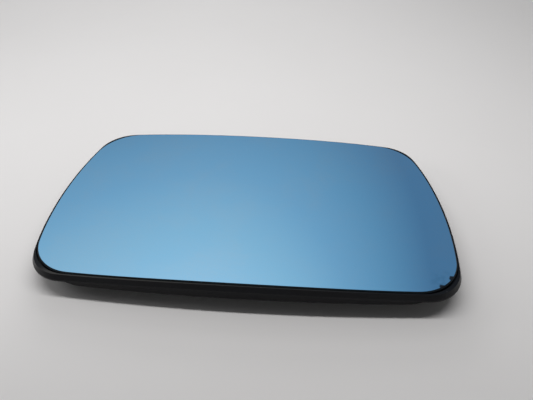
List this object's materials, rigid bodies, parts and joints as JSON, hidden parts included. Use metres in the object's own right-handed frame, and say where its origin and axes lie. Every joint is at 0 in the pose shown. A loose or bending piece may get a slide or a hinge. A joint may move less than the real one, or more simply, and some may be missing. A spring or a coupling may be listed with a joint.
{
  "type": "car door mirror glass",
  "caption": "Convex blue-coated mirror pane bonded into a black moulded backing plate with a ribbed back, a central snap ring and heater blades.",
  "frame": {"origin": "on the axis of the snap ring, in the plane of the ring's feet, on which the part lies", "axes": "+Z out of the middle of the mirror face, +X along its width, -Y towards its longer edge"},
  "size_m": [0.1736, 0.1028, 0.014],
  "materials": {
    "mirror_coat": "blue reflective coat on clear glass, ground edge",
    "foil_film": "printed polyester film",
    "black_plastic": "fine satin moulding",
    "terminal_brass": "stamped, slightly dull"
  },
  "bodies": {
    "root": {"mirror_glass": "mirror_coat", "heater_foil": "foil_film", "backing_plate": "black_plastic", "heater_terminal_lower": "terminal_brass", "heater_terminal_upper": "terminal_brass", "terminal_rivets": "terminal_brass"}
  },
  "joints": []
}
